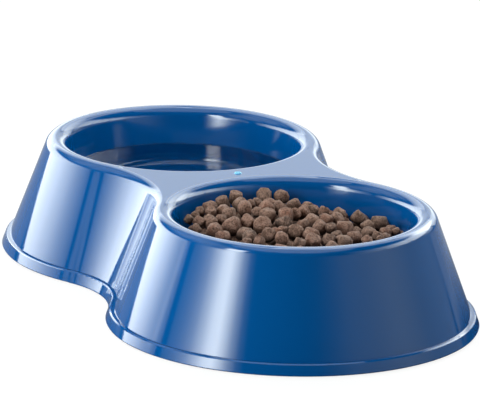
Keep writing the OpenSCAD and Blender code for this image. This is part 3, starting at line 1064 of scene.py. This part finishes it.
def pack_heap(stage, values, draw):
    """Packs the dish: the pellets that show, and loose ones below and around them."""
    places, radii, lines = seen_places(stage, values)
    seen = len(places)
    middle = dish_middle()
    step = values.pellet
    rows = []
    layer_rise = step * math.sqrt(2 / 3)
    for layer in range(int(HEAP_DEPTH / layer_rise)):
        height = middle[2] + values.pellet / 2 + layer * layer_rise
        shift = (layer % 3) / 3
        for row in range(-HEAP_ROWS, HEAP_ROWS + 1):
            for column in range(-HEAP_ROWS, HEAP_ROWS + 1):
                x = (column + row / 2 + shift) * step
                y = (row + shift) * step * math.sqrt(3) / 2
                rows.append((middle[0] + x, middle[1] + y, height))
    loose = np.array(rows)
    stray = np.array([[draw.uniform(-1, 1) for _ in range(3)] for _ in rows])
    loose += stray * LOOSE_STRAY * step
    loose_r = values.pellet / 2 * np.array([draw.uniform(*LOOSE_SIZES) for _ in rows])
    off = np.linalg.norm(loose[:, :2] - middle[:2], axis=1)
    kept = off < wall_radius(values, loose[:, 2]) - loose_r
    kept &= loose[:, 2] < heap_top(values, loose) - loose_r
    near = np.linalg.norm(loose[:, None, :2] - places[None, :, :2], axis=2).min(axis=1)
    deep = loose[:, 2] < heap_top(values, loose) - UNDER_SEEN * loose_r
    kept &= (near > BESIDE_SEEN * values.pellet) | deep
    away = np.linalg.norm(loose[:, None] - places[None], axis=2)
    away -= CLEAR_OF_SEEN * (loose_r[:, None] + radii[None])
    kept &= away.min(axis=1) > 0
    places = np.vstack((places, loose[kept]))
    radii = np.concatenate((radii, loose_r[kept]))
    top = heap_top(values, places) - radii
    skyline = seen_skyline()
    for _ in range(SETTLE_ROUNDS):
        apart = places[:, None] - places[None]
        distance = np.linalg.norm(apart, axis=2)
        np.fill_diagonal(distance, 1.0)
        overlap = np.clip(NESTLE * (radii[:, None] + radii[None]) - distance, 0.0, None)
        push = (apart / distance[..., None] * overlap[..., None]).sum(axis=1) * SETTLE_PUSH
        push[:seen] = lines * (push[:seen] * lines).sum(axis=1)[:, None] * SEEN_PUSH
        places = places + push
        off = places[seen:, :2] - middle[:2]
        length = np.linalg.norm(off, axis=1)
        room = wall_radius(values, places[seen:, 2]) - radii[seen:]
        hold = np.minimum(1.0, room / np.maximum(length, 1e-9))
        places[seen:, :2] = middle[:2] + off * hold[:, None]
        rise = sight_gap(stage, places[seen:], radii[seen:], skyline)
        highest = np.minimum(top[seen:], places[seen:, 2] + rise)
        lowest = middle[2] + radii[seen:] * LEAST_RISE
        places[seen:, 2] = np.clip(places[seen:, 2], lowest, np.maximum(highest, lowest))
    return places, radii, seen


def kibble_material(values):
    """Baked brown crumb: pellets of several shades, speckled, pitted and rough, with painted shade
    below.
    """
    material, nodes, links = new_material("baked_kibble")
    shader = add_node(nodes, "ShaderNodeBsdfPrincipled", IOR=1.4)
    shader.inputs["Specular IOR Level"].default_value = 0.35
    mottle = add_mottle(nodes, blotch_scale=300.0, grain_scale=1000.0, grain_share=0.35)
    warm, plain, dark, pale, pit, under = (
        tuple(values.colour[i] * tint[i] for i in range(3))
        for tint in (WARM_CRUMB, PLAIN_CRUMB, DARK_CRUMB, PALE_SPECK, PITTED_CRUMB, PAINTED_UNDERSIDE_SHADE))
    tone, warmth, depth = (
        add_node(nodes, "ShaderNodeAttribute", attribute_name=label).outputs["Fac"]
        for label in ("pellet_tone", "pellet_warmth", "pellet_painted_shade"))
    speck = map_values(nodes, links, mottle.outputs["Mix"], low=-1.2, high=1.9)
    hollow = map_values(nodes, links, mottle.outputs["Grain"], low=1.8, high=-1.4)
    shade = map_values(nodes, links, depth, low=0.0, high=1.3)
    colour = mix_colours(nodes, links, warmth, plain, warm)
    colour = mix_colours(nodes, links, tone, dark, colour)
    colour = mix_colours(nodes, links, speck, colour, pale)
    colour = mix_colours(nodes, links, hollow, colour, pit)
    # Painted shade: each pellet turns darker towards its underside, the loose ones more so
    colour = mix_colours(nodes, links, shade, colour, under)
    links.new(colour, shader.inputs["Base Color"])
    roughness = map_values(nodes, links, mottle.outputs["Grain"], low=0.6, high=0.95)
    links.new(roughness, shader.inputs["Roughness"])
    add_bump(nodes, links, shader, mottle.outputs["Mix"], strength=0.9, distance=1.0 * MM)
    finish_surface(nodes, links, shader)
    return material


class BOWL_OT_kibble(bpy.types.Operator):
    """Heaps the food dish with dented pellets: those that show, and loose ones under them"""

    bl_idname = "bowl.kibble"
    bl_label = "Heap the Kibble"

    def execute(self, context):
        values = context.scene.bowl_kibble
        stage = context.scene.bowl_stage
        draw = random.Random(values.seed)
        shapes = [self.make_shape(index) for index in range(KIBBLE_SHAPES)]
        places, radii, seen = pack_heap(stage, values, draw)
        back = view_axes(stage)[2]
        heap = []
        for index, (place, radius) in enumerate(zip(places, radii)):
            pellet = draw.choice(shapes).copy()
            pellet.data = pellet.data.copy()
            context.scene.collection.objects.link(pellet)
            axis = Vector([draw.gauss(0, 1) for _ in range(3)])
            shade = draw.random()
            # Where the painted shade on the pellet's underside begins
            depth = LOOSE_SHADE
            if index < seen:
                depth = SEEN_SHADE
                shade = SEEN_PELLETS[index][3]
                if SEEN_PELLETS[index][4]:
                    axis = back + Vector([draw.uniform(-END_TURN, END_TURN) for _ in range(3)])
            spin = Matrix.Rotation(draw.uniform(0, 2 * math.pi), 4, "Z")
            squash = draw.uniform(1 - SQUASH, 1 + SQUASH)
            length = radius * draw.uniform(*LENGTHS)
            size = Matrix.Diagonal((radius * squash, radius / squash, length, 1.0))
            lie = axis.to_track_quat("Z", "Y").to_matrix().to_4x4()
            pellet.data.transform(Matrix.Translation(Vector(place)) @ lie @ size @ spin)
            heights = read_mesh(pellet.data.vertices, "co", 3)[:, 2]
            mark_points(pellet.data, "pellet_tone", [shade] * len(heights))
            mark_points(pellet.data, "pellet_warmth", [draw.random()] * len(heights))
            # Painted shade: the lower a point lies on its pellet, the darker its colour
            shaded = np.clip((place[2] - heights) / radius + depth, 0.0, 1.0)
            mark_points(pellet.data, "pellet_painted_shade", shaded)
            heap.append(pellet)
        clear_selection()
        for shape in shapes:
            shape.select_set(True)
        bpy.ops.object.delete()
        for pellet in heap:
            pellet.select_set(True)
        bpy.context.view_layer.objects.active = heap[0]
        bpy.ops.object.join()
        pile = bpy.context.object
        pile.name = "kibble_pile"
        bpy.ops.object.shade_smooth_by_angle(angle=math.radians(CRISP_TURN))
        dress(pile, kibble_material(values))
        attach(pile, ROOT)
        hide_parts("kibble")
        return {"FINISHED"}

    def make_shape(self, index):
        """Models a pellet of radius 1 and half height 1: rounded, dimpled at its ends, dented."""
        clear_selection()
        bpy.ops.mesh.primitive_cylinder_add(vertices=PELLET_SIDES, radius=1.0, depth=2.0)
        pellet = bpy.context.object
        with editing():
            bpy.ops.mesh.select_mode(type="FACE")
            bpy.ops.mesh.select_all(action="DESELECT")
        self.select_ends(pellet.data, 0.9)
        with editing():
            bpy.ops.mesh.bevel(offset=END_ROUNDING, segments=2, affect="EDGES")
        self.select_ends(pellet.data, 0.99)
        with editing():
            bpy.ops.mesh.inset(thickness=DIMPLE_MARGIN, depth=-DIMPLE_DEPTH)
            bpy.ops.mesh.select_all(action="SELECT")
            bpy.ops.transform.vertex_random(offset=DENTS, uniform=1.0, normal=0.0, seed=index)
            bpy.ops.mesh.normals_make_consistent(inside=False)
        return pellet

    def select_ends(self, mesh, uprightness):
        """Selects the faces of a pellet whose normals are at least so upright."""
        for face in mesh.polygons:
            face.select = abs(face.normal.z) > uprightness


class BOWL_PT_panel(bpy.types.Panel):
    """Lists the steps that dress the bowl"""

    bl_label = "Double Pet Bowl"
    bl_idname = "BOWL_PT_panel"
    bl_space_type = "VIEW_3D"
    bl_region_type = "UI"
    bl_category = "Pet Bowl"

    def draw(self, context):
        layout = self.layout
        for step in STEPS:
            layout.operator(step.bl_idname)
        for name in SETTINGS:
            box = layout.box()
            values = getattr(context.scene, name)
            for label in values.__annotations__:
                box.prop(values, label)


STEPS = (BOWL_OT_stage, BOWL_OT_shell, BOWL_OT_feet, BOWL_OT_water, BOWL_OT_kibble)
CLASSES = (*SETTINGS.values(), *STEPS, BOWL_PT_panel)


def register():
    for cls in CLASSES:
        bpy.utils.register_class(cls)
    for name, group in SETTINGS.items():
        setattr(bpy.types.Scene, name, bpy.props.PointerProperty(type=group))


def unregister():
    for name in SETTINGS:
        delattr(bpy.types.Scene, name)
    for cls in reversed(CLASSES):
        bpy.utils.unregister_class(cls)


def main():
    register()
    bpy.ops.bowl.stage()
    bpy.ops.bowl.shell()
    bpy.ops.bowl.feet()
    bpy.ops.bowl.water()
    bpy.ops.bowl.kibble()


if __name__ == "__main__":
    main()
